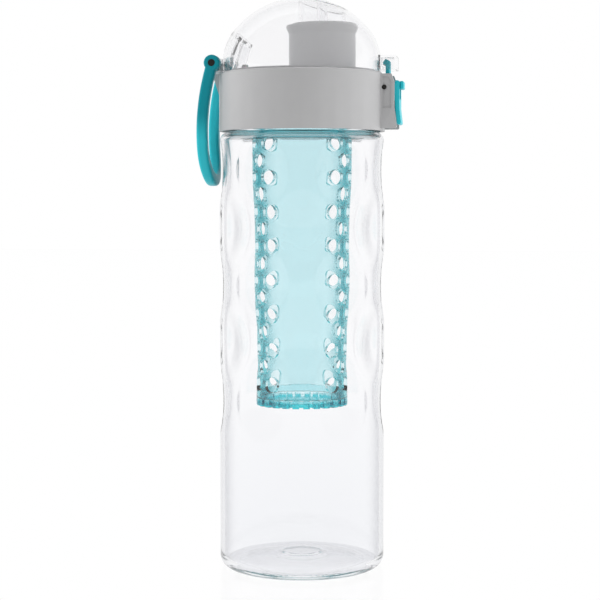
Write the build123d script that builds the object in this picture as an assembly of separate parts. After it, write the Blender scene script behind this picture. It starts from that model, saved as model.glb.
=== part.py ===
"""Fruit infuser water bottle with a domed flip lid, a carry loop and a removable infuser basket.

Millimetres, +Z up. The origin is the centre of the face that the bottle stands on.
+X points to the latch, -X to the hinge that the cover and the carry loop share.
"""

import os
from math import atan2, cos, degrees, radians, sin

from build123d import *

# Clearances, and the overrun of cuts
OVERRUN = 1.0
PIN_GAP = 0.05
PUSH_GAP = 0.06
PLAY = 0.3
SIDE_PLAY = 0.35

# Bottle body
BODY_RADIUS = 36.5
BODY_WALL = 2.0
BASE_THICKNESS = 2.6
BASE_ROUND = 5.0
STAND_SHARE = 0.76712
PUSH_UP = 3.2
GATE_RADIUS = 8.9
GATE_DEPTH = 0.7
SHOULDER_Z = 192.8
SHOULDER_ROUND = 4.0
NECK_STEP = 7.0
NECK_WALL = 2.0

# Grip dents in the bottle body
DENT_COLUMNS = 6
DENT_TURN = 8.0
DENT_HEIGHT = 31.0
DENT_DEPTH = 3.0
DENT_LOW_SHARE = 0.39212
DENT_TOP_MARGIN = 16.8
DENT_ROWS = 5

# Lid collar
COLLAR_HEIGHT = 25.4
COLLAR_LIFT = 0.4
SKIRT_WALL = 1.8
DECK_THICKNESS = 2.4
TOP_ROUND = 1.2
PLATEAU_MARGIN = 4.1
PLATEAU_RISE = 1.0

# Threaded insert under the deck, with the spigot that carries the basket
THREAD_ROOM = 2.0
RING_WALL = 1.6
RING_LIFT = 2.5
INSERT_FLANGE = 1.2
SPIGOT_LENGTH = 10.0
SPIGOT_WALL = 1.5

# Gasket under the insert
GASKET_THICKNESS = 2.0
GASKET_INSET = 0.4

# Infuser basket
BASKET_SHARE = 0.59863
BASKET_DRAFT = 2.45
BASKET_WALL = 1.5
BASKET_BASE_Z = 72.4
BASKET_TAPER_DROP = 2.8
BASKET_TURN = 8.0
HOLE_DIAMETER = 6.8
HOLE_LOW_RISE = 10.0
HOLE_TOP_MARGIN = 1.9
HOLE_ROWS = 8
EVEN_ROW_TURNS = (-46.5, -15.5, 15.5, 46.5)
ODD_ROW_TURNS = (-31.0, 0.0, 31.0)

# Slotted cap that closes the basket
CAP_FLANGE = 3.6
CAP_SPIGOT = 2.9
CAP_WALL = 1.5
CAP_FLOOR = 1.6
SLOT_COUNT = 26
SLOT_WIDTH = 1.8
SLOT_LENGTH = 4.5

# Drinking spout
SPOUT_X_SHARE = 0.246575
SPOUT_SHARE = 0.40274
SPOUT_WALL = 1.8
SPOUT_HEIGHT_SHARE = 0.684932
LIP_FLARE = 1.2
LIP_HEIGHT = 3.8
LIP_ROUND = 0.8
LAND_HEIGHT = 4.4
FUNNEL_DEPTH = 2.2
FUNNEL_WIDTH = 1.9
SPOUT_HOLE_INSET = 3.5
BOSS_WALL = 1.6
BOSS_HEIGHT = 5.0

# Vent valve in the deck
VENT_GAP = 0.1
VENT_RADIUS = 1.5
VENT_HEIGHT = 3.3
VENT_STEM = 1.1
VENT_TAIL = 1.6

# Domed cover
DOME_MARGIN = 1.5
DOME_RISE_SHARE = 0.834286
DOME_SHOULDER_SHARE = 0.685714
DOME_SKIRT = 3.7
DOME_WALL = 1.5
PLUG_INSET = 0.5
PLUG_WALL = 1.2
POST_RADIUS = 2.3
POST_WALL = 0.8

# Silicone seal on the plug ring of the cover
SEAL_INSET = 1.9
SEAL_THICKNESS = 1.6
SEAL_DIP = 3.0
SEAL_UPSTAND = 2.0
SEAL_WALL = 1.0

# Hinge that the cover and the carry loop share
HINGE_REACH = 1.0
HINGE_RISE = 4.0
HINGE_PIN_RADIUS = 1.5
KNUCKLE_RADIUS = 3.2
LUG_HALF = 5.6
LUG_FOOT = 9.1
EAR_WIDTH = 4.6
POCKET_DEPTH = 8.9
POCKET_LEAN = 4.2
POCKET_HEIGHT = 10.2
POCKET_ROOF = 4.4
POCKET_WALL = 1.4

# Carry loop
LEG_WIDTH = 5.4
LEG_THICKNESS = 4.7
EYE_RADIUS = 3.5
LOOP_LENGTH = 53.3
LOOP_BOW = 4.6
BOW_DROP = 27.9
BODY_STANDOFF = 0.6

# Latch housing on the collar
LATCH_PIN_REACH = 0.5
LATCH_PIN_DROP = 6.7
LATCH_PIN_RADIUS = 1.0
CHEEK_WIDTH = 2.2
CHEEK_TOP_REACH = 3.6
CHEEK_REACH = 4.9
CHEEK_FOOT_REACH = 6.1
CHEEK_TOP_DROP = 0.9
CHEEK_TOP_SLANT = 3.4
CHEEK_LOW_RISE = 9.8
HOUSING_FLOOR = 1.7
PANEL_MARGIN = 1.3
PANEL_DEPTH = 0.5

# Latch lever and its hook
LEVER_HALF = 5.9
LEVER_REACH = 6.9
LEVER_FLARE = 0.8
LEVER_THICKNESS = 1.8
LEVER_TOP_RISE = 3.0
LEVER_DROP = 15.9
LEVER_BOSS_RADIUS = 1.9
LEVER_ROUND = 0.8
ARM_WIDTH = 1.3
ARM_DROP = 6.0
HOOK_HALF = 4.3
HOOK_RISE = 12.4
HOOK_THICKNESS = 1.6
HOOK_NOSE = 1.1
HOOK_NOSE_HEIGHT = 2.4

# Catch box on the cover that the hook reaches into
CATCH_HALF = 6.4
CATCH_WALL = 1.0
CATCH_REACH = 5.7
CATCH_LIFT = 1.1
CATCH_TOP_GAP = 0.6
CATCH_ROUND = 0.6
CATCH_ROOT_SHARE = 0.65
LEDGE_REACH = 0.9
LEDGE_HEIGHT = 1.6

# Lock slider in the window of the lever
LOCK_HALF = 4.2
LOCK_HEIGHT = 3.4
LOCK_PROUD = 1.4
LOCK_KEEPER = 1.4
LOCK_NECK_HALF = 2.6
LOCK_TRAVEL = 4.0
LOCK_TOP_MARGIN = 0.2
LOCK_ROUND = 0.5

# Heights and radii that follow from the sizes above
STAND_RADIUS = BODY_RADIUS * STAND_SHARE
NECK_RADIUS = BODY_RADIUS - NECK_STEP
NECK_BORE = NECK_RADIUS - NECK_WALL
DENT_LOW_Z = SHOULDER_Z * DENT_LOW_SHARE
DENT_ROW_PITCH = (SHOULDER_Z - DENT_TOP_MARGIN - DENT_LOW_Z) / (DENT_ROWS - 1)
COLLAR_BOTTOM = SHOULDER_Z + COLLAR_LIFT
COLLAR_TOP = COLLAR_BOTTOM + COLLAR_HEIGHT
COLLAR_BORE = BODY_RADIUS - SKIRT_WALL
PLATEAU_RADIUS = BODY_RADIUS - PLATEAU_MARGIN
PLATEAU_Z = COLLAR_TOP + PLATEAU_RISE
DECK_UNDER = COLLAR_TOP - DECK_THICKNESS
FLANGE_UNDER = DECK_UNDER - INSERT_FLANGE
RING_LOW_Z = COLLAR_BOTTOM + RING_LIFT
RING_BORE = NECK_RADIUS + THREAD_ROOM
RING_RADIUS = RING_BORE + RING_WALL
RIM_Z = FLANGE_UNDER - GASKET_THICKNESS - PLAY
BASKET_RADIUS = BODY_RADIUS * BASKET_SHARE
BASKET_LOW_RADIUS = BASKET_RADIUS - BASKET_DRAFT
BASKET_TAPER_Z = SHOULDER_Z - BASKET_TAPER_DROP
BASKET_TOP_Z = FLANGE_UNDER - PLAY
HOLE_LOW_Z = BASKET_BASE_Z + HOLE_LOW_RISE
HOLE_ROW_PITCH = (BASKET_TAPER_Z - HOLE_TOP_MARGIN - HOLE_LOW_Z) / (HOLE_ROWS - 1)
SPIGOT_RADIUS = BASKET_RADIUS - BASKET_WALL - PUSH_GAP
SPIGOT_BORE = SPIGOT_RADIUS - SPIGOT_WALL
DOME_RADIUS = BODY_RADIUS - DOME_MARGIN
DOME_RISE = DOME_RADIUS * DOME_RISE_SHARE
DOME_SHOULDER = DOME_RADIUS * DOME_SHOULDER_SHARE
DOME_BASE_Z = COLLAR_TOP + PLAY
DOME_SPRING_Z = DOME_BASE_Z + DOME_SKIRT
SPOUT_X = BODY_RADIUS * SPOUT_X_SHARE
SPOUT_RADIUS = BODY_RADIUS * SPOUT_SHARE
SPOUT_BORE = SPOUT_RADIUS - SPOUT_WALL
SPOUT_TOP = PLATEAU_Z + DOME_RISE * SPOUT_HEIGHT_SHARE
SPOUT_HOLE = SPOUT_BORE - SPOUT_HOLE_INSET
LIP_RADIUS = SPOUT_RADIUS + LIP_FLARE
SEAL_RADIUS = SPOUT_BORE - SEAL_INSET
LAND_RADIUS = SEAL_RADIUS + PLAY
SEAL_Z = SPOUT_TOP - SEAL_DIP
PLUG_RADIUS = SEAL_RADIUS - PLUG_INSET
PLUG_Z = SEAL_Z + SEAL_THICKNESS
HINGE_X = -BODY_RADIUS - HINGE_REACH
HINGE_Z = COLLAR_TOP + HINGE_RISE
POCKET_X = HINGE_X + POCKET_DEPTH
VENT_X = POCKET_X + POCKET_WALL + VENT_RADIUS + VENT_GAP
EAR_IN = LUG_HALF + SIDE_PLAY
EAR_OUT = EAR_IN + EAR_WIDTH
LOOP_IN = EAR_OUT + SIDE_PLAY
LOOP_OUT = LOOP_IN + LEG_WIDTH
LATCH_PIN_X = BODY_RADIUS + LATCH_PIN_REACH
LATCH_PIN_Z = COLLAR_TOP - LATCH_PIN_DROP
CHEEK_TOP_X = BODY_RADIUS + CHEEK_TOP_REACH
CHEEK_X = BODY_RADIUS + CHEEK_REACH
CHEEK_FOOT_X = BODY_RADIUS + CHEEK_FOOT_REACH
CHEEK_LOW_Z = COLLAR_BOTTOM + CHEEK_LOW_RISE
CHEEK_IN = LEVER_HALF + PLAY
CHEEK_OUT = CHEEK_IN + CHEEK_WIDTH
LATCH_POCKET_X = LATCH_PIN_X - LEVER_BOSS_RADIUS - PLAY
LEVER_X = BODY_RADIUS + LEVER_REACH
LEVER_IN_X = LEVER_X - LEVER_THICKNESS
CATCH_X = BODY_RADIUS + CATCH_REACH
LOCK_TOP = LATCH_PIN_Z + LEVER_TOP_RISE - LOCK_TOP_MARGIN

os.makedirs("parts", exist_ok=True)


def section(points, rounds=()):
    """Face of a closed outline. Each entry of rounds is a corner of it and the radius there."""
    face = make_face(Polyline(*points, close=True))
    for corner, radius in rounds:
        vertex = face.vertices().sort_by_distance(Vector(*corner))[0]
        face = fillet(vertex, radius=radius)
    return face


def turned(points, rounds=(), x=0.0):
    """Solid of revolution of a half outline of radii and heights, about a vertical axis at x."""
    return Pos(x, 0, 0) * revolve(Plane.XZ * section(points, rounds), Axis.Z)


def tube(radius, bore, low, high, x=0.0):
    """Straight tube about a vertical axis at x. A bore of zero gives a solid cylinder."""
    inner = [(bore, low), (bore, high)] if bore else [(0, low), (0, high)]
    return turned([inner[0], (radius, low), (radius, high), inner[1]], x=x)


def plate(points, inner, outer, rounds=()):
    """Prism of an outline in the XZ plane, from Y = inner to Y = outer."""
    return Pos(0, inner, 0) * extrude(Plane.XZ * section(points, rounds), amount=inner - outer)


def cross_pin(x, z, radius, inner, outer):
    """Cylinder along Y at x, z, from Y = inner to Y = outer."""
    centre = Pos(x, (inner + outer) / 2, z)
    return centre * Rot(90, 0, 0) * Cylinder(radius, outer - inner)


def both_sides(solid):
    """The solid and its mirror image across the XZ plane."""
    return solid + mirror(solid, Plane.XZ)


def dents(radius):
    """Balls that press the finger dents, grown by a radius: every second row is turned by half a column."""
    half = DENT_HEIGHT / 2
    outer_ball = (half**2 + DENT_DEPTH**2) / (2 * DENT_DEPTH)
    reach = BODY_RADIUS - DENT_DEPTH + outer_ball
    balls = []
    for row in range(DENT_ROWS):
        for column in range(DENT_COLUMNS):
            angle = radians(DENT_TURN + (column - row % 2 / 2) * 360 / DENT_COLUMNS)
            place = Pos(reach * cos(angle), reach * sin(angle), DENT_LOW_Z + row * DENT_ROW_PITCH)
            balls.append(place * Sphere(outer_ball + radius))
    return balls


def bottle_body():
    """Clear blown bottle with one wall thickness, a pushed-up base and a neck."""
    push_ball = (STAND_RADIUS**2 + PUSH_UP**2) / (2 * PUSH_UP)
    outer = turned(
        [
            (0, 0),
            (BODY_RADIUS, 0),
            (BODY_RADIUS, SHOULDER_Z),
            (NECK_RADIUS, SHOULDER_Z),
            (NECK_RADIUS, RIM_Z),
            (0, RIM_Z),
        ],
        [((BODY_RADIUS, 0), BASE_ROUND), ((BODY_RADIUS, SHOULDER_Z), SHOULDER_ROUND)],
    )
    inner_radius = BODY_RADIUS - BODY_WALL
    inner_shoulder = SHOULDER_Z - BODY_WALL
    inner = turned(
        [
            (0, BASE_THICKNESS),
            (inner_radius, BASE_THICKNESS),
            (inner_radius, inner_shoulder),
            (NECK_BORE, inner_shoulder),
            (NECK_BORE, RIM_Z + OVERRUN),
            (0, RIM_Z + OVERRUN),
        ],
        [
            ((inner_radius, BASE_THICKNESS), BASE_ROUND - BODY_WALL),
            ((inner_radius, inner_shoulder), SHOULDER_ROUND - BODY_WALL),
        ],
    )
    centre = Pos(0, 0, PUSH_UP - push_ball)
    outer = outer - dents(0) - centre * Sphere(push_ball)
    outer = outer - tube(GATE_RADIUS, 0, 0, PUSH_UP + GATE_DEPTH)
    inner = inner - dents(BODY_WALL) - centre * Sphere(push_ball + BASE_THICKNESS)
    return outer - inner


def lid_gasket():
    """Flat ring between the rim of the neck and the flange of the insert, clear of the vent's stem."""
    bore = VENT_STEM + GASKET_INSET - VENT_X
    return tube(RING_BORE - PLAY, bore, FLANGE_UNDER - GASKET_THICKNESS, FLANGE_UNDER)


def knuckle(radius, foot_x, foot_z, inner_x, inner_z):
    """Outline of a hinge knuckle as points: a boss with a gusset that runs down to a foot."""
    return [
        (HINGE_X - radius, HINGE_Z),
        (foot_x, foot_z),
        (inner_x, inner_z),
        (inner_x, HINGE_Z),
    ]


def latch_housing():
    """Two cheeks on the collar with a sunk panel on each outer side, and the wall behind the lever."""
    cheek_top = COLLAR_TOP - CHEEK_TOP_DROP
    root_x = COLLAR_BORE
    outline = [
        (root_x, COLLAR_BOTTOM + OVERRUN),
        (CHEEK_FOOT_X, COLLAR_BOTTOM + OVERRUN),
        (CHEEK_X, CHEEK_LOW_Z),
        (CHEEK_X, cheek_top - CHEEK_TOP_SLANT),
        (CHEEK_TOP_X, cheek_top),
        (root_x, cheek_top),
    ]
    cheek = plate(outline, CHEEK_IN, CHEEK_OUT)
    cheek = fillet(cheek.edges().filter_by(Axis.Y).sort_by(Axis.X)[-3:], LEVER_ROUND)
    panel = plate(
        [
            (BODY_RADIUS, CHEEK_LOW_Z),
            (CHEEK_X - PANEL_MARGIN, CHEEK_LOW_Z),
            (CHEEK_X - PANEL_MARGIN, cheek_top - CHEEK_TOP_SLANT),
            (CHEEK_TOP_X - PANEL_MARGIN, cheek_top - PANEL_MARGIN),
            (BODY_RADIUS, cheek_top - PANEL_MARGIN),
        ],
        CHEEK_OUT - PANEL_DEPTH,
        CHEEK_OUT + OVERRUN,
    )
    backing = plate(
        [
            (RING_RADIUS - OVERRUN, RING_LOW_Z),
            (COLLAR_BORE + OVERRUN, RING_LOW_Z),
            (COLLAR_BORE + OVERRUN, DECK_UNDER),
            (RING_RADIUS - OVERRUN, DECK_UNDER),
        ],
        -CHEEK_IN - OVERRUN,
        CHEEK_IN + OVERRUN,
    )
    return both_sides(cheek - panel), backing


def lid_collar():
    """Outer collar: skirt, deck, spout boss, hinge lug and latch housing."""
    collar = turned(
        [
            (0, DECK_UNDER),
            (COLLAR_BORE, DECK_UNDER),
            (COLLAR_BORE, COLLAR_BOTTOM),
            (BODY_RADIUS, COLLAR_BOTTOM),
            (BODY_RADIUS, COLLAR_TOP),
            (PLATEAU_RADIUS, COLLAR_TOP),
            (PLATEAU_RADIUS, PLATEAU_Z),
            (0, PLATEAU_Z),
        ],
        [((BODY_RADIUS, COLLAR_TOP), TOP_ROUND)],
    )
    boss_radius = SPOUT_BORE - PUSH_GAP
    boss = tube(boss_radius, boss_radius - BOSS_WALL, PLATEAU_Z, PLATEAU_Z + BOSS_HEIGHT, SPOUT_X)
    cheeks, backing = latch_housing()
    lug = plate(
        knuckle(
            KNUCKLE_RADIUS,
            -BODY_RADIUS + PLAY,
            COLLAR_TOP - LUG_FOOT,
            -COLLAR_BORE + PLAY,
            COLLAR_TOP - LUG_FOOT,
        ),
        -LUG_HALF,
        LUG_HALF,
    )
    lug = lug + cross_pin(HINGE_X, HINGE_Z, KNUCKLE_RADIUS, -LUG_HALF, LUG_HALF)
    insert_space = tube(RING_RADIUS + PUSH_GAP, 0, RING_LOW_Z - OVERRUN, DECK_UNDER)
    collar = collar + boss + cheeks + (lug - insert_space) + (backing - insert_space)
    lever_room = plate(
        [
            (LATCH_POCKET_X, RING_LOW_Z + HOUSING_FLOOR),
            (CHEEK_FOOT_X + OVERRUN, RING_LOW_Z + HOUSING_FLOOR),
            (CHEEK_FOOT_X + OVERRUN, COLLAR_TOP + OVERRUN),
            (LATCH_POCKET_X, COLLAR_TOP + OVERRUN),
        ],
        -CHEEK_IN,
        CHEEK_IN,
    )
    collar = collar - lever_room
    collar = collar - tube(SPOUT_HOLE, 0, DECK_UNDER - OVERRUN, PLATEAU_Z + OVERRUN, SPOUT_X)
    collar = collar - tube(VENT_STEM + PUSH_GAP, 0, DECK_UNDER - OVERRUN, PLATEAU_Z + OVERRUN, VENT_X)
    collar = collar - cross_pin(HINGE_X, HINGE_Z, HINGE_PIN_RADIUS + PIN_GAP, -LOOP_OUT, LOOP_OUT)
    pin_room = LATCH_PIN_RADIUS + PIN_GAP
    return collar - cross_pin(LATCH_PIN_X, LATCH_PIN_Z, pin_room, -CHEEK_OUT, CHEEK_OUT)


def lid_insert():
    """Threaded ring that screws on the neck, hung from a flange that also carries the basket spigot."""
    spigot_low = DECK_UNDER - SPIGOT_LENGTH
    insert = turned(
        [
            (SPIGOT_BORE, DECK_UNDER),
            (SPIGOT_BORE, spigot_low),
            (SPIGOT_RADIUS, spigot_low),
            (SPIGOT_RADIUS, FLANGE_UNDER),
            (RING_BORE, FLANGE_UNDER),
            (RING_BORE, RING_LOW_Z),
            (RING_RADIUS, RING_LOW_Z),
            (RING_RADIUS, DECK_UNDER),
        ]
    )
    return insert - tube(VENT_STEM + PUSH_GAP, 0, FLANGE_UNDER - OVERRUN, DECK_UNDER + OVERRUN, VENT_X)


def spout():
    """Drinking spout pressed over the boss, with a flared lip and an inner land for the seal."""
    lip_low = SPOUT_TOP - LIP_HEIGHT
    funnel_low = SPOUT_TOP - FUNNEL_DEPTH
    land_low = funnel_low - LAND_HEIGHT
    bore_top = land_low - (SPOUT_BORE - LAND_RADIUS)
    lip_face = SPOUT_TOP - LIP_ROUND
    return turned(
        [
            (SPOUT_BORE, PLATEAU_Z),
            (SPOUT_RADIUS, PLATEAU_Z),
            (SPOUT_RADIUS, lip_low),
            (LIP_RADIUS, lip_face),
            (LIP_RADIUS - LIP_ROUND, SPOUT_TOP),
            (LAND_RADIUS + FUNNEL_WIDTH, SPOUT_TOP),
            (LAND_RADIUS, funnel_low),
            (LAND_RADIUS, land_low),
            (SPOUT_BORE, bore_top),
        ],
        [((SPOUT_RADIUS, lip_low), LIP_HEIGHT)],
        x=SPOUT_X,
    )


def vent_valve():
    """Small silicone valve whose stem passes through the deck and the insert."""
    top = PLATEAU_Z + VENT_HEIGHT
    return turned(
        [
            (0, FLANGE_UNDER - VENT_TAIL),
            (VENT_STEM, FLANGE_UNDER - VENT_TAIL),
            (VENT_STEM, PLATEAU_Z),
            (VENT_RADIUS, PLATEAU_Z),
            (VENT_RADIUS, top),
            (0, top),
        ],
        [((VENT_RADIUS, top), VENT_RADIUS / 2)],
        x=VENT_X,
    )


def dome_solid(inset):
    """Filled dome drawn in by an inset: a short straight skirt, a tight shoulder and a flatter crown."""
    shoulder_x = DOME_RADIUS - DOME_SHOULDER
    crown = (shoulder_x**2 + DOME_RISE**2 - DOME_SHOULDER**2) / (2 * (DOME_RISE - DOME_SHOULDER))
    crown_z = DOME_SPRING_Z + DOME_RISE - crown
    turn = degrees(atan2(DOME_SPRING_Z - crown_z, shoulder_x))
    outline = [
        Line((0, DOME_BASE_Z), (DOME_RADIUS - inset, DOME_BASE_Z)),
        Line((DOME_RADIUS - inset, DOME_BASE_Z), (DOME_RADIUS - inset, DOME_SPRING_Z)),
        CenterArc((shoulder_x, DOME_SPRING_Z), DOME_SHOULDER - inset, 0, turn),
        CenterArc((0, crown_z), crown - inset, turn, 90 - turn),
        Line((0, crown_z + crown - inset), (0, DOME_BASE_Z)),
    ]
    return revolve(Plane.XZ * make_face(outline), Axis.Z)


def pocket_outline(inset, outer_x):
    """Outline of the hinge pocket in the rear of the dome, drawn in by an inset."""
    low = PLATEAU_Z + PLAY
    wall_x = POCKET_X - inset
    return [
        (outer_x, low if inset == 0 else DOME_BASE_Z - OVERRUN),
        (wall_x, low if inset == 0 else DOME_BASE_Z - OVERRUN),
        (wall_x + POCKET_LEAN, HINGE_Z + POCKET_HEIGHT - inset),
        (wall_x + POCKET_LEAN - POCKET_ROOF, HINGE_Z + POCKET_HEIGHT + POCKET_ROOF - inset),
        (outer_x, HINGE_Z + POCKET_HEIGHT + POCKET_ROOF - inset),
    ]


def dome_cover():
    """Clear cover with its plug ring, rear hinge pocket and ears, and the catch box in front."""
    outer = dome_solid(0)
    shell = outer - dome_solid(DOME_WALL)
    plug_top = DOME_SPRING_Z + DOME_RISE
    ring = tube(PLUG_RADIUS, PLUG_RADIUS - PLUG_WALL, PLUG_Z, plug_top, SPOUT_X)
    post = tube(POST_RADIUS, POST_RADIUS - POST_WALL, PLUG_Z, plug_top, SPOUT_X)
    plug = (ring + post) & outer
    pocket = plate(pocket_outline(0, -DOME_RADIUS), -EAR_OUT, EAR_OUT) & outer
    ear_low = HINGE_Z - KNUCKLE_RADIUS
    ear_points = knuckle(KNUCKLE_RADIUS, HINGE_X, ear_low, -DOME_RADIUS + DOME_WALL, ear_low)
    ear = plate(ear_points, EAR_IN, EAR_OUT)
    ear = ear + cross_pin(HINGE_X, HINGE_Z, KNUCKLE_RADIUS, EAR_IN, EAR_OUT)
    room = plate(pocket_outline(POCKET_WALL, HINGE_X - KNUCKLE_RADIUS - OVERRUN), -EAR_IN, EAR_IN)
    cover = shell + plug + pocket + both_sides(ear) - room
    hollow_points = pocket_outline(POCKET_WALL, -DOME_RADIUS + DOME_WALL)
    hollow = plate(hollow_points, EAR_IN + OVERRUN, EAR_OUT - OVERRUN)
    cover = cover - both_sides(hollow & dome_solid(DOME_WALL))
    catch_low = COLLAR_TOP + CATCH_LIFT
    hook_top = LATCH_PIN_Z + HOOK_RISE
    catch_top = hook_top + CATCH_TOP_GAP + CATCH_WALL
    root_x = DOME_RADIUS - DOME_WALL * CATCH_ROOT_SHARE
    box = plate(
        [(root_x, catch_low), (CATCH_X, catch_low), (CATCH_X, catch_top), (root_x, catch_top)],
        -CATCH_HALF,
        CATCH_HALF,
        [((CATCH_X, catch_top), CATCH_ROUND)],
    )
    ledge_x = DOME_RADIUS + LEDGE_REACH
    hook_room = plate(
        [
            (ledge_x, catch_low - OVERRUN),
            (CATCH_X - CATCH_WALL, catch_low - OVERRUN),
            (CATCH_X - CATCH_WALL, catch_top - CATCH_WALL),
            (DOME_RADIUS, catch_top - CATCH_WALL),
            (DOME_RADIUS, catch_low + LEDGE_HEIGHT),
            (ledge_x, catch_low + LEDGE_HEIGHT),
        ],
        -CATCH_HALF + CATCH_WALL,
        CATCH_HALF - CATCH_WALL,
    )
    cover = cover + box - hook_room
    return cover - cross_pin(HINGE_X, HINGE_Z, HINGE_PIN_RADIUS + PIN_GAP, -LOOP_OUT, LOOP_OUT)


def spout_seal():
    """Silicone disc under the plug ring, with an upstand pressed into the ring."""
    disc = tube(SEAL_RADIUS, 0, SEAL_Z, PLUG_Z, SPOUT_X)
    upstand = PLUG_RADIUS - PLUG_WALL - PUSH_GAP
    return disc + tube(upstand, upstand - SEAL_WALL, PLUG_Z, PLUG_Z + SEAL_UPSTAND, SPOUT_X)


def carry_loop():
    """Bowed U-shaped loop with an eye at the top of each leg."""
    half = LEG_THICKNESS / 2
    low_z = HINGE_Z - LOOP_LENGTH
    low_x = -BODY_RADIUS - BODY_STANDOFF - half
    bow = (HINGE_X - LOOP_BOW, HINGE_Z - BOW_DROP)
    outer = ThreePointArc((HINGE_X - half, HINGE_Z), (bow[0] - half, bow[1]), (low_x - half, low_z))
    inner = ThreePointArc((low_x + half, low_z), (bow[0] + half, bow[1]), (HINGE_X + half, HINGE_Z))
    foot = Line((low_x - half, low_z), (low_x + half, low_z))
    head = Line((HINGE_X + half, HINGE_Z), (HINGE_X - half, HINGE_Z))
    side = extrude(Plane.XZ * make_face([outer, foot, inner, head]), amount=LOOP_OUT, both=True)
    bend_z = low_z + LOOP_OUT
    window = Pos(0, bend_z) * Circle(LOOP_IN)
    window = window + Pos(0, (bend_z + HINGE_Z + EYE_RADIUS) / 2) * Rectangle(
        2 * LOOP_IN, HINGE_Z + EYE_RADIUS - bend_z
    )
    front = Pos(0, bend_z) * Circle(LOOP_OUT)
    front = front + Pos(0, (bend_z + HINGE_Z) / 2) * Rectangle(2 * LOOP_OUT, HINGE_Z - bend_z)
    reach = 2 * abs(HINGE_X)
    band = side & extrude(Plane.YZ * (front - window), amount=-reach)
    eyes = both_sides(cross_pin(HINGE_X, HINGE_Z, EYE_RADIUS, LOOP_IN, LOOP_OUT))
    loop = band + eyes
    return loop - cross_pin(HINGE_X, HINGE_Z, HINGE_PIN_RADIUS + PIN_GAP, -LOOP_OUT, LOOP_OUT)


def latch_lever():
    """Lever with its push plate, pivot boss, side arms and the hook that reaches into the catch box."""
    top_z = LATCH_PIN_Z + LEVER_TOP_RISE
    low_z = LATCH_PIN_Z - LEVER_DROP
    push_plate = plate(
        [
            (LEVER_IN_X, top_z),
            (LEVER_IN_X, CHEEK_LOW_Z),
            (LEVER_X + LEVER_FLARE - LEVER_THICKNESS, low_z),
            (LEVER_X + LEVER_FLARE, low_z),
            (LEVER_X, CHEEK_LOW_Z),
            (LEVER_X, top_z),
        ],
        -LEVER_HALF,
        LEVER_HALF,
        [((LEVER_X, top_z), LEVER_ROUND), ((LEVER_X + LEVER_FLARE, low_z), LEVER_ROUND)],
    )
    boss = cross_pin(LATCH_PIN_X, LATCH_PIN_Z, LEVER_BOSS_RADIUS, -LEVER_HALF, LEVER_HALF)
    arm = plate(
        [
            (LATCH_PIN_X, LATCH_PIN_Z + LEVER_BOSS_RADIUS),
            (LATCH_PIN_X, LATCH_PIN_Z - LEVER_BOSS_RADIUS),
            (LEVER_IN_X, LATCH_PIN_Z - ARM_DROP),
            (LEVER_IN_X, LATCH_PIN_Z + LEVER_BOSS_RADIUS),
        ],
        LEVER_HALF - ARM_WIDTH,
        LEVER_HALF,
    )
    hook_top = LATCH_PIN_Z + HOOK_RISE
    stem_x = LATCH_PIN_X + LEVER_BOSS_RADIUS
    nose_x = stem_x - HOOK_THICKNESS - HOOK_NOSE
    hook = plate(
        [
            (stem_x - HOOK_THICKNESS, LATCH_PIN_Z),
            (stem_x, LATCH_PIN_Z),
            (stem_x, hook_top - LEVER_ROUND),
            (stem_x - HOOK_THICKNESS, hook_top),
            (nose_x, hook_top - HOOK_NOSE_HEIGHT + HOOK_NOSE),
            (nose_x, hook_top - HOOK_NOSE_HEIGHT),
            (stem_x - HOOK_THICKNESS, hook_top - HOOK_NOSE_HEIGHT),
        ],
        -HOOK_HALF,
        HOOK_HALF,
    )
    window_low = LOCK_TOP - LOCK_HEIGHT - LOCK_TRAVEL - PLAY
    window = plate(
        [
            (LEVER_IN_X - OVERRUN, window_low),
            (LEVER_X + OVERRUN, window_low),
            (LEVER_X + OVERRUN, LOCK_TOP + PLAY),
            (LEVER_IN_X - OVERRUN, LOCK_TOP + PLAY),
        ],
        -LOCK_NECK_HALF - PLAY,
        LOCK_NECK_HALF + PLAY,
    )
    lever = push_plate + boss + both_sides(arm) + hook - window
    pin_room = LATCH_PIN_RADIUS + PIN_GAP
    return lever - cross_pin(LATCH_PIN_X, LATCH_PIN_Z, pin_room, -LEVER_HALF, LEVER_HALF)


def lock_slider():
    """Small slider with a thumb pad outside the lever, a keeper inside and a neck in the window."""
    low = LOCK_TOP - LOCK_HEIGHT
    pad_x = LEVER_X + PLAY
    keeper_x = LEVER_IN_X - PLAY
    keeper_low_x = keeper_x - LOCK_KEEPER
    pad = plate(
        [(pad_x, low), (pad_x + LOCK_PROUD, low), (pad_x + LOCK_PROUD, LOCK_TOP), (pad_x, LOCK_TOP)],
        -LOCK_HALF,
        LOCK_HALF,
        [((pad_x + LOCK_PROUD, low), LOCK_ROUND), ((pad_x + LOCK_PROUD, LOCK_TOP), LOCK_ROUND)],
    )
    keeper = plate(
        [(keeper_low_x, low), (keeper_x, low), (keeper_x, LOCK_TOP), (keeper_low_x, LOCK_TOP)],
        -LOCK_HALF,
        LOCK_HALF,
    )
    neck = plate(
        [(keeper_x, low), (pad_x, low), (pad_x, LOCK_TOP), (keeper_x, LOCK_TOP)],
        -LOCK_NECK_HALF,
        LOCK_NECK_HALF,
    )
    return pad + keeper + neck


def basket_radius(z):
    """Outer radius of the tapered basket at a height."""
    share = (z - BASKET_BASE_Z) / (BASKET_TAPER_Z - BASKET_BASE_Z)
    return BASKET_LOW_RADIUS + (BASKET_RADIUS - BASKET_LOW_RADIUS) * min(share, 1)


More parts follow.
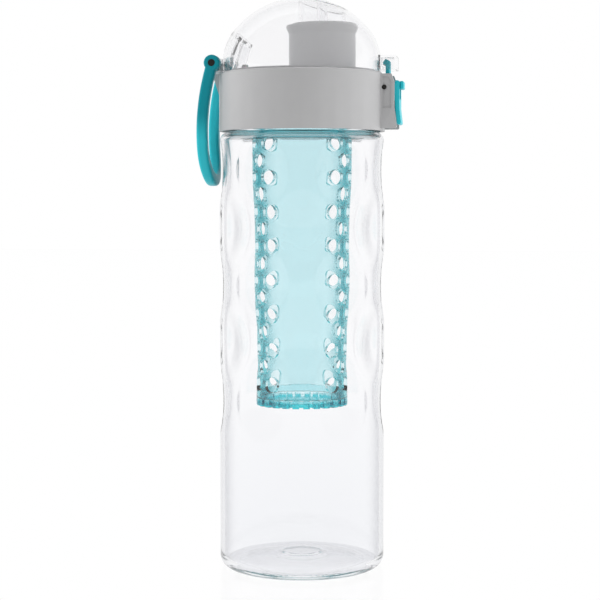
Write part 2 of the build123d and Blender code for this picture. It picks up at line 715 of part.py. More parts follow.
def infuser_basket():
    """Tapered tube whose two sides are pierced with staggered rows of round holes."""
    low = BASKET_BASE_Z + CAP_FLANGE
    low_radius = basket_radius(low)
    body = turned(
        [
            (low_radius - BASKET_WALL, low),
            (low_radius, low),
            (BASKET_RADIUS, BASKET_TAPER_Z),
            (BASKET_RADIUS, BASKET_TOP_Z),
            (BASKET_RADIUS - BASKET_WALL, BASKET_TOP_Z),
            (BASKET_RADIUS - BASKET_WALL, BASKET_TAPER_Z),
        ]
    )
    drill = Rot(0, 90, 0) * Cylinder(HOLE_DIAMETER / 2, 2 * (BASKET_RADIUS + OVERRUN))
    drills = []
    for row in range(2 * HOLE_ROWS - 1):
        turns = EVEN_ROW_TURNS if row % 2 == 0 else ODD_ROW_TURNS
        height = HOLE_LOW_Z + row * HOLE_ROW_PITCH / 2
        for turn in turns:
            drills.append(Pos(0, 0, height) * Rot(0, 0, BASKET_TURN + turn) * drill)
    return body - drills


def infuser_cap():
    """Cap that closes the basket, with a ring of drain slots round its edge."""
    flange_top = BASKET_BASE_Z + CAP_FLANGE
    radius = basket_radius(flange_top)
    spigot = radius - BASKET_WALL - PUSH_GAP
    cap = turned(
        [
            (0, BASKET_BASE_Z),
            (basket_radius(BASKET_BASE_Z), BASKET_BASE_Z),
            (radius, flange_top),
            (spigot, flange_top),
            (spigot, flange_top + CAP_SPIGOT),
            (spigot - CAP_WALL, flange_top + CAP_SPIGOT),
            (spigot - CAP_WALL, BASKET_BASE_Z + CAP_FLOOR),
            (0, BASKET_BASE_Z + CAP_FLOOR),
        ]
    )
    slot_height = CAP_FLANGE - PLAY
    to_top = (Align.CENTER, Align.CENTER, Align.MAX)
    slot = Box(2 * SLOT_LENGTH, SLOT_WIDTH, slot_height + OVERRUN, align=to_top)
    slots = [
        Rot(0, 0, step * 360 / SLOT_COUNT) * Pos(radius, 0, BASKET_BASE_Z + slot_height) * slot
        for step in range(SLOT_COUNT)
    ]
    return cap - slots


nodes = {
    "bottle_body": bottle_body(),
    "lid_gasket": lid_gasket(),
    "lid_collar": lid_collar(),
    "lid_insert": lid_insert(),
    "spout": spout(),
    "vent_valve": vent_valve(),
    "dome_cover": dome_cover(),
    "spout_seal": spout_seal(),
    "hinge_pin": cross_pin(HINGE_X, HINGE_Z, HINGE_PIN_RADIUS, -LOOP_OUT, LOOP_OUT),
    "carry_loop": carry_loop(),
    "latch_pin": cross_pin(LATCH_PIN_X, LATCH_PIN_Z, LATCH_PIN_RADIUS, -CHEEK_OUT, CHEEK_OUT),
    "latch_lever": latch_lever(),
    "lock_slider": lock_slider(),
    "infuser_basket": infuser_basket(),
    "infuser_cap": infuser_cap(),
}

for name, solid in nodes.items():
    export_step(solid, f"parts/{name}.step")
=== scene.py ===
"""Fruit infuser bottle, dressed for its photograph.

Every piece is worked out in millimetres in the frame of the CAD model and set down in metres.
+X points to the latch, -X to the hinge, and the bottle stands on Z = 0.
"""

from math import cos, pi, radians, sin

import bmesh
import bpy
import numpy as np
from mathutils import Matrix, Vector


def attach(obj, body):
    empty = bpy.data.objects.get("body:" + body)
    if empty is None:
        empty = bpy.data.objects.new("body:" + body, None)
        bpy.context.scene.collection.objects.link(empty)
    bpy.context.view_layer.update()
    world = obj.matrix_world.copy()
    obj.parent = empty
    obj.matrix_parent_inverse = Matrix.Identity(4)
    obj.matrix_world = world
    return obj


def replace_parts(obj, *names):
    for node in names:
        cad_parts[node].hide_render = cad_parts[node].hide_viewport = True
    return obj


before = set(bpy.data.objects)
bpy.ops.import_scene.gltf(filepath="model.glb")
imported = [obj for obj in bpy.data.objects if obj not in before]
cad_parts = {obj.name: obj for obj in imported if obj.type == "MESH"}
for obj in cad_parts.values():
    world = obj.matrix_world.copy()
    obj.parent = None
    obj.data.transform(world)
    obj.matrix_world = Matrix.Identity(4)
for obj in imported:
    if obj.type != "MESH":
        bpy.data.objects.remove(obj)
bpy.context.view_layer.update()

# Lengths are in millimetres and angles in degrees, unless a comment says otherwise.
# An outline is a list of corners (r, z, rounding), or (r, y, rounding) for the loop's eyes.
MM = 0.001

# Bottle body: the thread rises from what lies within NECK_BAND of the neck's radius
BODY_RADIUS = 36.5
BODY_WALL = 2.0
BODY_COLUMNS = 288
SHOULDER_Z = 192.8
SHOULDER_WALL = 2.0
NECK_RADIUS = 29.5
NECK_WALL = 2.0
NECK_BAND = 0.4
RIM_Z = 212.7
FOOT_RADIUS = 28.0
BODY_OUTLINE = [
    (FOOT_RADIUS, 0, 0),
    (BODY_RADIUS, 0, 5.0),
    (BODY_RADIUS, SHOULDER_Z, 4.0),
    (NECK_RADIUS, SHOULDER_Z, 1.0),
    (NECK_RADIUS, RIM_Z, 0.7),
    (NECK_RADIUS - NECK_WALL, RIM_Z, 0.7),
    (NECK_RADIUS - NECK_WALL, SHOULDER_Z - SHOULDER_WALL, 1.0),
    (BODY_RADIUS - BODY_WALL, SHOULDER_Z - SHOULDER_WALL, 2.0),
    (BODY_RADIUS - BODY_WALL, 6.0, 0),
]
# The base from inside, as points (r, z), and the mark of the gate under it
BASE_INSIDE = [(33.6, 3.2), (32.0, 3.0), (28.0, 3.3), (20.0, 4.6), (9.5, 5.9), (8.6, 6.5), (0, 6.5)]
GATE_MARK = [(0, 3.9), (8.3, 3.9), (8.9, 3.2)]
# The pushed-up underside is part of a sphere, between two angles from the axis
PUSH_RISE = 3.2
PUSH_RADIUS = 124.1
PUSH_FROM, PUSH_TO = 4.11, 13.04

# Finger dents, counted from the lowest row up
DENT_ROWS = 5
DENT_SPACING = 60.0
DENT_TURN = 8.0
DENT_LOW_Z = 75.6
DENT_PITCH = 25.1
DENT_HALF_WIDTH = 13.5
DENT_HALF_HEIGHT = 17.0
DENT_DEPTH = 3.0
# The dents fade in between these radii and heights: both sides of the wall have them, and the
# floor, the lowest part of the body, the shoulder and the neck don't
DENTED_RADII = (33.0, 34.4)
DENTED_HEIGHTS = (30, 50)

# Screw thread: run-out on the neck in turns, run-out and turn of the ridge in the lid in radians
THREAD_PITCH = 8.0
THREAD_RUN_OUT = 0.08
RING_BORE = 31.5
RING_THREAD_Z = 202.6
RING_THREAD_TURN = 2.6 * pi
RING_THREAD_RUN_OUT = 0.5
RING_THREAD_RISE = 1.1
RING_THREAD_SINK = 0.3
RING_THREAD_HALF_WIDTH = 1.5
RING_THREAD_THIN = 0.05

# Lid and spout
COLLAR_TOP = 218.6
PLATEAU_Z = 219.6
SPOUT_X = 9.0
SPOUT_TOP = 239.6
SPOUT_COLUMNS = 192
SPOUT_OUTLINE = [
    (12.9, PLATEAU_Z, 0.2),
    (14.7, PLATEAU_Z, 0.3),
    (14.7, 235.8, 4.0),
    (15.9, 238.6, 0.4),
    (15.9, SPOUT_TOP, 0.5),
    (13.2, SPOUT_TOP, 0.4),
    (11.3, 237.4, 0.4),
    (11.3, 233.0, 0.3),
    (12.9, 231.4, 0.5),
]

# Hinge and carry loop: the loop's middle line passes the pin, the bow and the foot as (x, z)
HINGE_X = -37.5
HINGE_Z = 222.6
LOOP_BOW = (-42.1, 194.7)
LOOP_FOOT = (-39.45, 169.3)
LOOP_BEND_Z = 185.6
LOOP_LEG_TOP = HINGE_Z - 2.4
LOOP_STEPS = 40
LOOP_HALF_WIDTH = 2.7
LOOP_HALF_THICKNESS = 2.35
LOOP_SQUARENESS = 4
LOOP_IN = 10.9
LOOP_OUT = 16.3
EYE_BORE = 1.56
EYE_RADIUS = 3.5
EYE_COLUMNS = 48

# Edges: points this close and faces this nearly flat are merged, sharper edges split or bevelled
DOUBLES = 0.002
CAD_DOUBLES = 0.001
FLAT_ANGLE = 0.4
SPLIT_ANGLE = 32
BEVEL_ANGLE = 40.0

# Studio: the floor is in millimetres, the lamps and the camera in metres, its turn in radians
FLOOR_Z = -0.05
FLOOR_HALF_WIDTH = 3000
FLOOR_FRONT = -2500
FLOOR_LENGTH = 7000
FLOOR_ROWS, FLOOR_COLUMNS = 40, 9
LAMP_AIM = Vector((0, 0, 0.12))
LAMP_SIZE = (0.5, 0.9)
BOUNCES = 64
CAMERA_TURN = radians(8.0)
CAMERA_DISTANCE = 0.71
CAMERA_HEIGHT = 0.1631
AIM_SHIFT = 0.0009
AIM_HEIGHT = 0.1187


# Outlines and grids


def arc(centre, radius, start, end, steps):
    """Points (x, z) on an arc: centre + radius (cos a, sin a), with a going from start to end."""
    turn = np.radians(np.linspace(start, end, steps))
    return np.array(centre) + radius * np.stack([np.cos(turn), np.sin(turn)], axis=-1)


def rounded(outline, steps):
    """The outline as points, with an arc at each corner that has a rounding.

    The arc touches both sides at rounding / tan(half the corner) from the corner.
    """
    outline = np.array(outline, float)
    corners, radii = outline[:, :2], outline[:, 2]
    parts = []
    for k, radius in enumerate(radii):
        corner = corners[k]
        if radius == 0:
            parts.append(corner[None, :])
            continue
        back = corners[k - 1] - corner
        ahead = corners[(k + 1) % len(corners)] - corner
        back, ahead = back / np.hypot(*back), ahead / np.hypot(*ahead)
        half = np.arccos(np.clip(back @ ahead, -1, 1)) / 2
        middle = corner + (back + ahead) / np.hypot(*(back + ahead)) * radius / np.sin(half)
        first = corner + back * radius / np.tan(half) - middle
        last = corner + ahead * radius / np.tan(half) - middle
        share = np.linspace(0, 1, steps)[:, None]
        chord = first * (1 - share) + last * share
        parts.append(middle + chord / np.hypot(*chord.T)[:, None] * radius)
    return np.concatenate(parts)


def divided(outline, step):
    """The outline with its straight runs divided into equal parts no longer than step."""
    parts = [
        np.linspace(a, b, int(np.ceil(max(np.hypot(*(b - a)) / step, 1))) + 1)[:-1]
        for a, b in zip(outline[:-1], outline[1:])
    ]
    return np.concatenate([*parts, outline[-1:]])


def grid_faces(rows, columns, wrap_rows=False, wrap_columns=True):
    """Quads of a grid: point (i, j) joins (i, j+1), (i+1, j+1) and (i+1, j).

    A wrapped side joins its last point to its first.
    """
    i = np.arange(rows if wrap_rows else rows - 1)[:, None]
    j = np.arange(columns if wrap_columns else columns - 1)[None, :]
    beside, below = (j + 1) % columns, (i + 1) % rows
    quads = [
        i * columns + j,
        i * columns + beside,
        below * columns + beside,
        below * columns + j,
    ]
    return np.stack(quads, axis=-1).reshape(-1, 4)


def moulding(name, points, faces, body, finish, sharp=35.0):
    """A piece from points: doubles merged, faces turned outwards, smooth but for sharper edges."""
    mesh = bpy.data.meshes.new(name)
    mesh.from_pydata(np.asarray(points).reshape(-1, 3) * MM, [], faces)
    work = bmesh.new()
    work.from_mesh(mesh)
    bmesh.ops.remove_doubles(work, verts=work.verts, dist=DOUBLES * MM)
    bmesh.ops.dissolve_degenerate(work, edges=work.edges, dist=DOUBLES * MM)
    bmesh.ops.recalc_face_normals(work, faces=work.faces)
    work.to_mesh(mesh)
    work.free()
    mesh.shade_smooth()
    mesh.set_sharp_from_angle(angle=radians(sharp))
    mesh.materials.append(finish)
    piece = bpy.data.objects.new(name, mesh)
    bpy.context.scene.collection.objects.link(piece)
    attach(piece, body)
    return piece


def bump(distance):
    """Smooth hump of a scaled distance: (1 - distance^2)^2 inside 1, and zero outside."""
    return np.clip(1 - distance**2, 0, 1) ** 2


def smooth(low, high, value):
    """Smooth step: 3 s^2 - 2 s^3 of the share s of value between low and high."""
    share = np.clip((value - low) / (high - low), 0, 1)
    return share**2 * (3 - 2 * share)


# Finishes


class Value:
    """A shader socket: an operator on it adds the Math node that works it out."""

    def __init__(self, finish, socket):
        self.finish, self.socket = finish, socket

    def _math(self, operation, first, second):
        return self.finish.node("ShaderNodeMath", {"operation": operation}, {0: first, 1: second})

    def __add__(self, other):
        return self._math("ADD", self, other)

    def __radd__(self, other):
        return self._math("ADD", other, self)

    def __sub__(self, other):
        return self._math("SUBTRACT", self, other)

    def __rsub__(self, other):
        return self._math("SUBTRACT", other, self)

    def __mul__(self, other):
        return self._math("MULTIPLY", self, other)

    def __rmul__(self, other):
        return self._math("MULTIPLY", other, self)


class Nodes:
    """The nodes of one finish or of the sky, and the one method that adds them."""

    def __init__(self, holder):
        holder.use_nodes = True
        self.tree = holder.node_tree
        self.place = self.node("ShaderNodeTexCoord", output="Object")

    def node(self, kind, settings=(), inputs=(), output=0):
        """One node: its settings first, then the values or links of its sockets."""
        made = self.tree.nodes.new(kind)
        for key, value in dict(settings).items():
            setattr(made, key, value)
        for key, value in dict(inputs).items():
            self.join(value, made.inputs[key])
        return Value(self, made.outputs[output])

    def join(self, value, socket):
        """Links a Value to a socket, or sets a plain one."""
        if isinstance(value, Value):
            self.tree.links.new(value.socket, socket)
        elif hasattr(value, "__len__") and len(value) == 3 and socket.type == "RGBA":
            socket.default_value = (*value, 1)
        else:
            socket.default_value = value

    def noise(self, scale, detail=3.0, stretch=(1, 1, 1)):
        """Noise between 0 and 1 with scale patches to the metre, times stretch along each axis."""
        place = self.node("ShaderNodeMapping", {}, {"Vector": self.place, "Scale": stretch})
        inputs = {"Vector": place, "Scale": scale, "Detail": detail}
        return self.node("ShaderNodeTexNoise", {}, inputs)

    def between(self, factor, first, second):
        """Colour between two by a factor."""
        inputs = {0: factor, 6: first, 7: second}
        return self.node("ShaderNodeMix", {"data_type": "RGBA"}, inputs, output=2)

    def ramp(self, value, low, high, first=0.0, second=1.0):
        """Smooth step from first to second while a value goes from low to high."""
        inputs = {
            "Value": value,
            "From Min": low,
            "From Max": high,
            "To Min": first,
            "To Max": second,
        }
        return self.node("ShaderNodeMapRange", {"interpolation_type": "SMOOTHSTEP"}, inputs)

    def axis(self, name):
        """One of the coordinates X, Y and Z, in metres."""
        return self.node("ShaderNodeSeparateXYZ", {}, {"Vector": self.place}, output=name)


class Finish(Nodes):
    """A material with one Principled shader."""

    def __init__(self, name, **sockets):
        self.material = bpy.data.materials.new(name)
        super().__init__(self.material)
        self.shader = self.tree.nodes["Principled BSDF"]
        self.output = self.tree.nodes["Material Output"]
        for socket, value in sockets.items():
            self.set(socket.replace("_", " "), value)

    def set(self, socket, value):
        """Sets or links a socket of the shader."""
        self.join(value, self.shader.inputs[socket])

    def edge(self, low, high):
        """How far the surface turns from the eye: a smooth step of the facing share."""
        facing = self.node("ShaderNodeLayerWeight", {}, {"Blend": 0.5}, output="Facing")
        return self.ramp(facing, low, high)

    def mottle(self, scale, first, second):
        """Colour that drifts between two in patches of a scale."""
        return self.between(self.noise(scale), first, second)

    def dull(self, least, spread, scale, detail=4.0, stretch=(1, 1, 1)):
        """Roughness that drifts from least upwards, by no more than spread."""
        self.set("Roughness", least + self.noise(scale, detail, stretch) * spread)

    def relief(self, scale, depth, detail=2.0, stretch=(1, 1, 1)):
        """Bump of noise, depth millimetres deep, into the Normal."""
        height = self.noise(scale, detail, stretch)
        inputs = {"Height": height, "Distance": depth * MM, "Strength": 1.0}
        self.set("Normal", self.node("ShaderNodeBump", {}, inputs))


def clear_plastic(name, tint, foot, edge):
    """Clear plastic with a faint tint, and painted shade that greys it towards the foot and where
    the wall is seen along itself.
    """
    finish = Finish(name, Transmission_Weight=1.0, IOR=1.45, Specular_IOR_Level=0.5)
    # Painted shade: the tint turns to the foot colour from 100 mm down to 10 mm, with a little
    # random drift mixed in
    foot_shade_mask = finish.ramp(finish.axis("Z"), 100 * MM, 10 * MM)
    foot_shade_and_drift = 0.8 * foot_shade_mask + 0.2 * finish.noise(18.0)
    wall = finish.between(foot_shade_and_drift, tint, foot)
    # Painted shade: the colour turns to the edge grey where the wall is seen along itself
    finish.set("Base Color", finish.between(finish.edge(0.4, 0.95), wall, edge))
    finish.dull(least=0.0, spread=0.006, scale=60.0, detail=2.0)
    return finish.material


def lid_plastic():
    """Grey moulded plastic with a fine grain, and painted light that makes its top face under the
    cover paler.
    """
    finish = Finish("lid_plastic", IOR=1.45, Specular_IOR_Level=0.35)
    side = finish.mottle(120.0, (0.455, 0.455, 0.46), (0.485, 0.485, 0.49))
    # Painted light: the top face under the cover turns to a pale grey (0.84) to make up for the
    # shade there
    deck_painted_light = finish.ramp(finish.axis("Z"), (COLLAR_TOP - 0.35) * MM, (COLLAR_TOP - 0.05) * MM)
    finish.set("Base Color", finish.between(deck_painted_light, side, (0.84, 0.84, 0.85)))
    finish.dull(least=0.32, spread=0.14, scale=900.0)
    finish.relief(scale=2600.0, depth=0.012)
    return finish.material


def insert_plastic():
    """Aqua plastic in the collar, with a faint painted glow that stands in for the light that the
    shoulder leads in.
    """
    finish = Finish("insert_plastic", IOR=1.45, Specular_IOR_Level=0.3, Emission_Strength=0.8)
    finish.set("Base Color", finish.mottle(80.0, (0.3, 0.55, 0.58), (0.34, 0.6, 0.63)))
    # Painted glow: this emission stands in for light, the insert is no lamp
    finish.set("Emission Color", finish.mottle(80.0, (0.16, 0.36, 0.39), (0.19, 0.41, 0.44)))
    finish.dull(least=0.35, spread=0.12, scale=900.0)
    finish.relief(scale=2600.0, depth=0.01)
    return finish.material


def spout_plastic():
    """Grey polished plastic with faint wear, and painted light that makes its grey paler than the
    lid's to make up for the shade under the cover.
    """
    finish = Finish("spout_plastic", IOR=1.5, Coat_Weight=0.1, Coat_Roughness=0.2)
    # Painted light: these greys are raised to make up for the shade under the cover
    finish.set("Base Color", finish.mottle(90.0, (0.71, 0.71, 0.72), (0.76, 0.76, 0.77)))
    finish.dull(least=0.24, spread=0.12, scale=700.0)
    finish.relief(scale=1800.0, depth=0.006)
    return finish.material


def silicone():
    """Milky silicone rubber with a dull, dusty skin."""
    finish = Finish("silicone", IOR=1.42, Subsurface_Weight=0.4, Subsurface_Scale=0.003)
    finish.set("Base Color", finish.mottle(200.0, (0.62, 0.64, 0.66), (0.74, 0.76, 0.78)))
    finish.dull(least=0.45, spread=0.15, scale=1500.0)
    finish.relief(scale=3000.0, depth=0.01, detail=3.0)
    return finish.material


def teal_plastic():
    """Teal satin plastic with a fine grain, and painted shade that deepens the outer sides of the
    loop towards the top.
    """
    finish = Finish("teal_plastic", IOR=1.45, Specular_IOR_Level=0.25)
    side = finish.node("ShaderNodeMath", {"operation": "ABSOLUTE"}, {0: finish.axis("Y")})
    # Painted shade: the outer sides of the loop, from 188 mm to 202 mm up, turn to the deep teal
    # (0.0, 0.27, 0.33)
    outward = finish.ramp(side, 12 * MM, 16 * MM)
    upper_shade_mask = finish.ramp(finish.axis("Z"), 188 * MM, 202 * MM)
    plain = finish.mottle(60.0, (0.02, 0.50, 0.58), (0.03, 0.56, 0.65))
    finish.set("Base Color", finish.between(outward * upper_shade_mask, plain, (0.0, 0.27, 0.33)))
    finish.dull(least=0.3, spread=0.12, scale=800.0)
    finish.relief(scale=2200.0, depth=0.01)
    return finish.material


def aqua_plastic(name, rim_z=None):
    """Clear aqua plastic, deeper where the wall turns from the eye and in a rim below rim_z."""
    finish = Finish(name, Transmission_Weight=1.0, IOR=1.3, Specular_IOR_Level=0.4)
    wall = finish.mottle(35.0, (0.76, 0.93, 0.95), (0.79, 0.945, 0.965))
    colour = finish.between(finish.edge(0.15, 0.55), wall, (0.05, 0.43, 0.48))
    if rim_z is not None:
        above = finish.ramp(finish.axis("Z"), (rim_z - 1.0) * MM, rim_z * MM)
        colour = finish.between(above, (0.03, 0.62, 0.68), colour)
    finish.set("Base Color", colour)
    finish.dull(least=0.0, spread=0.04, scale=500.0)
    finish.relief(scale=300.0, depth=0.002)
    return finish.material


def steel():
    """Drawn steel: fine scratches along the pin and a little unevenness in the gloss."""
    finish = Finish("steel", Metallic=1.0)
    finish.set("Base Color", finish.mottle(300.0, (0.02, 0.02, 0.02), (0.05, 0.048, 0.045)))
    finish.dull(least=0.2, spread=0.2, scale=900.0, detail=3.0, stretch=(1, 0.05, 1))
    finish.relief(scale=2500.0, depth=0.008, stretch=(1, 0.03, 1))
    return finish.material


# foot and edge are the colours of the painted shade; tint is the plastic's own
body_finish = clear_plastic(
    "clear_plastic",
    tint=(0.985, 0.985, 0.992),
    foot=(0.945, 0.95, 0.965),
    edge=(0.5, 0.505, 0.54),
)
dome_finish = clear_plastic(
    "dome_plastic",
    tint=(0.99, 0.99, 0.995),
    foot=(0.975, 0.975, 0.98),
    edge=(0.8, 0.8, 0.82),
)
lid_finish = lid_plastic()
insert_finish = insert_plastic()
spout_finish = spout_plastic()
silicone_finish = silicone()
teal_finish = teal_plastic()
basket_finish = aqua_plastic("aqua_plastic")
cap_finish = aqua_plastic("aqua_cap_plastic", rim_z=75.2)
steel_finish = steel()


# Bottle body


def dent_depth(turn, z):
    """Depth of the finger dents: smooth oval hollows, each second row turned by half a column."""
    depth = np.zeros(np.broadcast(turn, z).shape)
    half = radians(DENT_SPACING / 2)
    for row in range(DENT_ROWS):
        middle = radians(DENT_TURN - DENT_SPACING / 2 * (row % 2))
        beside = (turn - middle + half) % (2 * half) - half
        across = beside * BODY_RADIUS / DENT_HALF_WIDTH
        along = (z - DENT_LOW_Z - DENT_PITCH * row) / DENT_HALF_HEIGHT
        depth = np.maximum(depth, DENT_DEPTH * bump(np.hypot(across, along)))
    return depth


def thread(turn, z, start, turns, rise, width):
    """Height of a helical ridge: a hump across it, one pitch up a turn, faded at both ends."""
    height = np.zeros(np.broadcast(turn, z).shape)
    for lap in range(int(np.ceil(turns)) + 1):
        progress = turn / (2 * pi) + lap
        ends = smooth(0, THREAD_RUN_OUT, progress) * smooth(0, THREAD_RUN_OUT, turns - progress)
        across = (z - start - THREAD_PITCH * progress) / width
        height = np.maximum(height, rise * bump(across) * ends)
    return height


def bottle_shell():
    """Blown body: a half outline turned about the axis as (r cos t, r sin t, z).

    r is less by the depth of the dents on the wall, and more by the height of the thread on the
    neck.
    """
    centre = (0, PUSH_RISE - PUSH_RADIUS)
    push = arc(centre, PUSH_RADIUS, 90 - PUSH_FROM, 90 - PUSH_TO, 12)
    outline = rounded(BODY_OUTLINE, 9)
    profile = divided(np.concatenate([GATE_MARK, push[1:], outline[1:], BASE_INSIDE]), 1.0)
    turn = np.linspace(0, 2 * pi, BODY_COLUMNS, endpoint=False)[None, :]
    r, z = profile[:, :1], profile[:, 1:]
    wall = smooth(*DENTED_RADII, r) * smooth(*DENTED_HEIGHTS, z)
    neck = (r > NECK_RADIUS - NECK_BAND) & (r < NECK_RADIUS + NECK_BAND) & (z > SHOULDER_Z)
    ridge = thread(turn, z, start=198.0, turns=1.4, rise=1.3, width=1.6)
    r = r - wall * dent_depth(turn, z) + neck * ridge
    points = np.stack([r * np.cos(turn), r * np.sin(turn), z + 0 * turn], axis=-1)
    faces = grid_faces(len(profile), turn.size)
    return moulding("bottle_shell", points, faces, "bottle", body_finish, 60)


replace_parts(bottle_shell(), "bottle_body")


# Carry loop


def bow(z):
    """X of the loop's middle line at a height: the circle through the pin, the bow and the foot."""
    a, b, c = np.array([(HINGE_X, HINGE_Z), LOOP_BOW, LOOP_FOOT])
    rows = 2 * np.array([b - a, c - a])
    middle = np.linalg.solve(rows, [b @ b - a @ a, c @ c - a @ a])
    radius = np.hypot(*(a - middle))
    return middle[0] - np.sqrt(radius**2 - (z - middle[1]) ** 2)


def loop_leg():
    """The loop's U: a rounded rectangle carried down one bowed leg, round the bend and up again.

    The section is (cos t, sin t) over the fourth root of cos^4 t + sin^4 t, times its half sizes.
    """
    half = (LOOP_OUT + LOOP_IN) / 2
    down = np.linspace(LOOP_LEG_TOP, LOOP_BEND_Z, LOOP_STEPS)
    bend = np.linspace(0, pi, LOOP_STEPS)[1:-1]
    y = np.concatenate([0 * down - half, -half * np.cos(bend), 0 * down + half])
    z = np.concatenate([down, LOOP_BEND_Z - half * np.sin(bend), down[::-1]])
    line = np.stack([bow(z), y, z], axis=-1)
    ahead = np.gradient(line, axis=0)
    ahead = ahead / np.linalg.norm(ahead, axis=1)[:, None]
    outward = np.cross(ahead, np.array([1.0, 0.0, 0.0]))
    outward = outward / np.linalg.norm(outward, axis=1)[:, None]
    across = np.cross(outward, ahead)
    turn = np.linspace(0, 2 * pi, 32, endpoint=False)
    shape = np.abs(np.cos(turn)) ** LOOP_SQUARENESS + np.abs(np.sin(turn)) ** LOOP_SQUARENESS
    size = shape ** (1 / LOOP_SQUARENESS)
    u = (LOOP_HALF_WIDTH * np.cos(turn) / size)[None, :, None]
    v = (LOOP_HALF_THICKNESS * np.sin(turn) / size)[None, :, None]
    points = line[:, None] + u * outward[:, None] + v * across[:, None]
    top = np.arange(turn.size)
    ends = [top[::-1].tolist(), (top + (len(line) - 1) * turn.size).tolist()]
    faces = [*grid_faces(len(line), turn.size).tolist(), *ends]
    return moulding("carry_loop_leg", points, faces, "loop", teal_finish)


def loop_eye(name, side):
    """One of the loop's eyes: a rounded rectangle (r, y) turned about the hinge pin.

    Its points are (HINGE_X + r cos t, y, HINGE_Z + r sin t).
    """
    inner, outer = sorted((side * LOOP_IN, side * LOOP_OUT))
    outline = rounded(
        [
            (EYE_BORE, inner, 0.1),
            (EYE_RADIUS, inner, 0.8),
            (EYE_RADIUS, outer, 0.8),
            (EYE_BORE, outer, 0.1),
        ],
        6,
    )
    r, y = outline[:, :1], outline[:, 1:]
    turn = np.linspace(0, 2 * pi, EYE_COLUMNS, endpoint=False)
    x, z = HINGE_X + r * np.cos(turn), HINGE_Z + r * np.sin(turn)
    points = np.stack([x, y + 0 * turn, z], axis=-1)
    faces = grid_faces(len(outline), EYE_COLUMNS, wrap_rows=True)
    moulding(name, points, faces, "loop", teal_finish)


loop = loop_leg()
loop_eye("carry_loop_eye_front", -1)
loop_eye("carry_loop_eye_rear", 1)
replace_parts(loop, "carry_loop")


# Spout and the thread in the lid


def spout_tube():
    """Drinking spout: a closed outline turned as (SPOUT_X + r cos t, r sin t, z)."""
    outline = divided(rounded(SPOUT_OUTLINE, 6), 2.0)
    turn = np.linspace(0, 2 * pi, SPOUT_COLUMNS, endpoint=False)
    r, z = outline[:, :1], outline[:, 1:]
    points = np.stack([SPOUT_X + r * np.cos(turn), r * np.sin(turn), z + 0 * turn], axis=-1)
    faces = grid_faces(len(outline), SPOUT_COLUMNS, wrap_rows=True)
    moulding("spout_tube", points, faces, "lid", spout_finish)


spout_tube()
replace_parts(bpy.data.objects["spout_tube"], "spout")


def ring_thread():
    """Ridge inside the threaded ring: a half hump carried up a helix, thinned at both ends.

    r is the root less the hump (1 - s^2)^2, z rises by one pitch a turn and by s half widths,
    with s from -1 to 1 across the ridge.
    """
    turn = np.linspace(0.0, RING_THREAD_TURN, 180)[:, None]
    across = np.linspace(-1, 1, 9)[None, :]
    fade = smooth(0, RING_THREAD_RUN_OUT, turn) * smooth(0, RING_THREAD_RUN_OUT, turn[-1] - turn)
    root = RING_BORE + RING_THREAD_SINK
    r = root - (RING_THREAD_SINK + RING_THREAD_RISE * bump(across)) * fade
    width = RING_THREAD_THIN + (1 - RING_THREAD_THIN) * fade
    climb = RING_THREAD_Z + THREAD_PITCH * turn / (2 * pi)
    z = climb + RING_THREAD_HALF_WIDTH * across * width
    front = np.stack([r * np.cos(turn), r * np.sin(turn), z], axis=-1)
    back = np.stack([root * np.cos(turn) + 0 * z, root * np.sin(turn) + 0 * z, z], axis=-1)
    points = np.concatenate([front, back[:, ::-1]], axis=1)
    faces = grid_faces(*points.shape[:2])
    moulding("ring_thread", points, faces, "lid", insert_finish)


ring_thread()


# The carried-over CAD pieces


def soften(piece, width):
    """Small bevel on the sharp edges of a piece, with flat faces kept flat."""
    bevel = piece.modifiers.new("edge_round", "BEVEL")
    bevel.width = width * MM
    bevel.segments = 2
    bevel.limit_method = "ANGLE"
    bevel.angle_limit = radians(BEVEL_ANGLE)
    bevel.harden_normals = True
    bevel.use_clamp_overlap = True


def dress(node, finish, round_width=0.0):
    """Gives a CAD node its finish and smooth shading, with its sharp edges rounded or split.

    Rounding needs the triangles of each flat face merged first.
    """
    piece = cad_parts[node]
    piece.data.materials.clear()
    piece.data.materials.append(finish)
    piece.data.shade_smooth()
    weld = piece.modifiers.new("merge", "WELD")
    weld.merge_threshold = CAD_DOUBLES * MM
    if round_width:
        flat = piece.modifiers.new("flat_faces", "DECIMATE")
        flat.decimate_type = "DISSOLVE"
        flat.angle_limit = radians(FLAT_ANGLE)
        soften(piece, round_width)
    else:
        split = piece.modifiers.new("sharp_edges", "EDGE_SPLIT")
        split.split_angle = radians(SPLIT_ANGLE)


dress("lid_collar", lid_finish, 0.25)
dress("lid_insert", insert_finish)
dress("dome_cover", dome_finish)
dress("lid_gasket", silicone_finish)
dress("spout_seal", silicone_finish)
dress("vent_valve", silicone_finish)
dress("hinge_pin", steel_finish)
dress("latch_pin", steel_finish)
dress("latch_lever", teal_finish, 0.2)
dress("lock_slider", teal_finish, 0.2)
dress("infuser_basket", basket_finish)
dress("infuser_cap", cap_finish)


# Studio


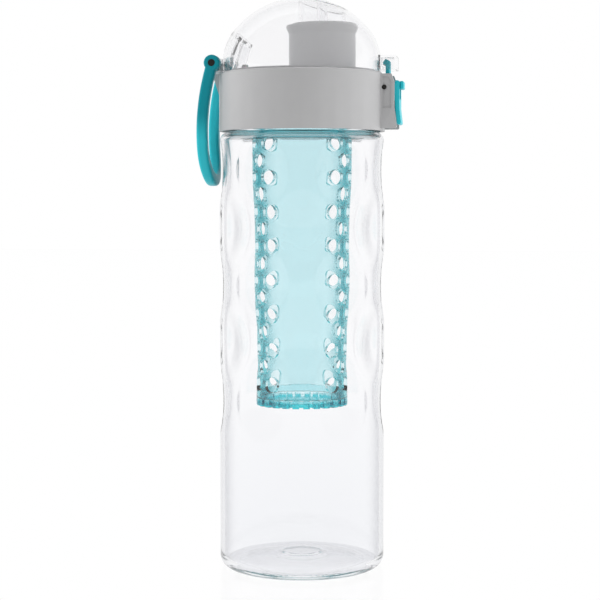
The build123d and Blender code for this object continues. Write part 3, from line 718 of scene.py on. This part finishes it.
def backdrop():
    """Wide pale floor that the bottle stands on: a flat grid that reaches further behind."""
    side = np.linspace(-FLOOR_HALF_WIDTH, FLOOR_HALF_WIDTH, FLOOR_COLUMNS)[None, :]
    depth = FLOOR_FRONT + FLOOR_LENGTH * np.linspace(0, 1, FLOOR_ROWS)[:, None]
    level = FLOOR_Z + 0 * (side + depth)
    points = np.stack([side + 0 * depth, depth + 0 * side, level], axis=-1)
    faces = grid_faces(FLOOR_ROWS, FLOOR_COLUMNS, wrap_columns=False)[:, ::-1]
    mesh = bpy.data.meshes.new("studio_floor")
    mesh.from_pydata(points.reshape(-1, 3) * MM, [], faces)
    floor = bpy.data.objects.new("studio_floor", mesh)
    bpy.context.scene.collection.objects.link(floor)
    finish = Finish("floor_acrylic")
    glow = finish.node("ShaderNodeEmission", {}, {"Color": (1.0, 1.0, 1.0), "Strength": 0.88})
    polish = {"Color": (0.12, 0.12, 0.12), "Roughness": 0.08}
    sheen = finish.node("ShaderNodeBsdfGlossy", {}, polish)
    surface = finish.node("ShaderNodeAddShader", {}, {0: glow, 1: sheen})
    finish.join(surface, finish.output.inputs["Surface"])
    mesh.materials.append(finish.material)


def lamp(name, place, watts):
    """Soft area lamp at a place, pointed at the bottle, hidden from gloss and clear plastic."""
    light = bpy.data.lights.new(name, "AREA")
    light.shape = "RECTANGLE"
    light.size, light.size_y = LAMP_SIZE
    light.energy = watts
    holder = bpy.data.objects.new(name, light)
    holder.location = place
    holder.visible_glossy = False
    holder.visible_transmission = False
    holder.rotation_euler = (LAMP_AIM - Vector(place)).to_track_quat("-Z", "Y").to_euler()
    bpy.context.scene.collection.objects.link(holder)


backdrop()

lamp("left_softbox", (-1.0, -0.03, 0.4), 4.5)
lamp("right_softbox", (1.0, 0.14, 0.4), 4.6)

scene = bpy.context.scene
scene.world = bpy.data.worlds.new("studio")
sky = Nodes(scene.world)
glow = sky.tree.nodes["Background"]
glow.inputs["Color"].default_value = (1, 1, 1, 1)
front_to_back = sky.ramp(sky.axis("Y"), low=-1.0, high=0.3, first=0.58, second=1.0)
sky.join(front_to_back, glow.inputs["Strength"])
scene.view_settings.view_transform = "Standard"
scene.cycles.max_bounces = BOUNCES
scene.cycles.transmission_bounces = BOUNCES
scene.cycles.glossy_bounces = BOUNCES
scene.cycles.transparent_max_bounces = 16

stand = Vector(
    (CAMERA_DISTANCE * sin(CAMERA_TURN), -CAMERA_DISTANCE * cos(CAMERA_TURN), CAMERA_HEIGHT)
)
target = Vector((-AIM_SHIFT * cos(CAMERA_TURN), -AIM_SHIFT * sin(CAMERA_TURN), AIM_HEIGHT))
camera_data = bpy.data.cameras.new("photo_camera")
camera_data.lens = 96.0
camera_data.sensor_width = 36.0
camera_data.clip_start, camera_data.clip_end = 0.05, 20.0
camera = bpy.data.objects.new("photo_camera", camera_data)
camera.location = stand
camera.rotation_euler = (target - stand).to_track_quat("-Z", "Y").to_euler()
scene.collection.objects.link(camera)
scene.camera = camera
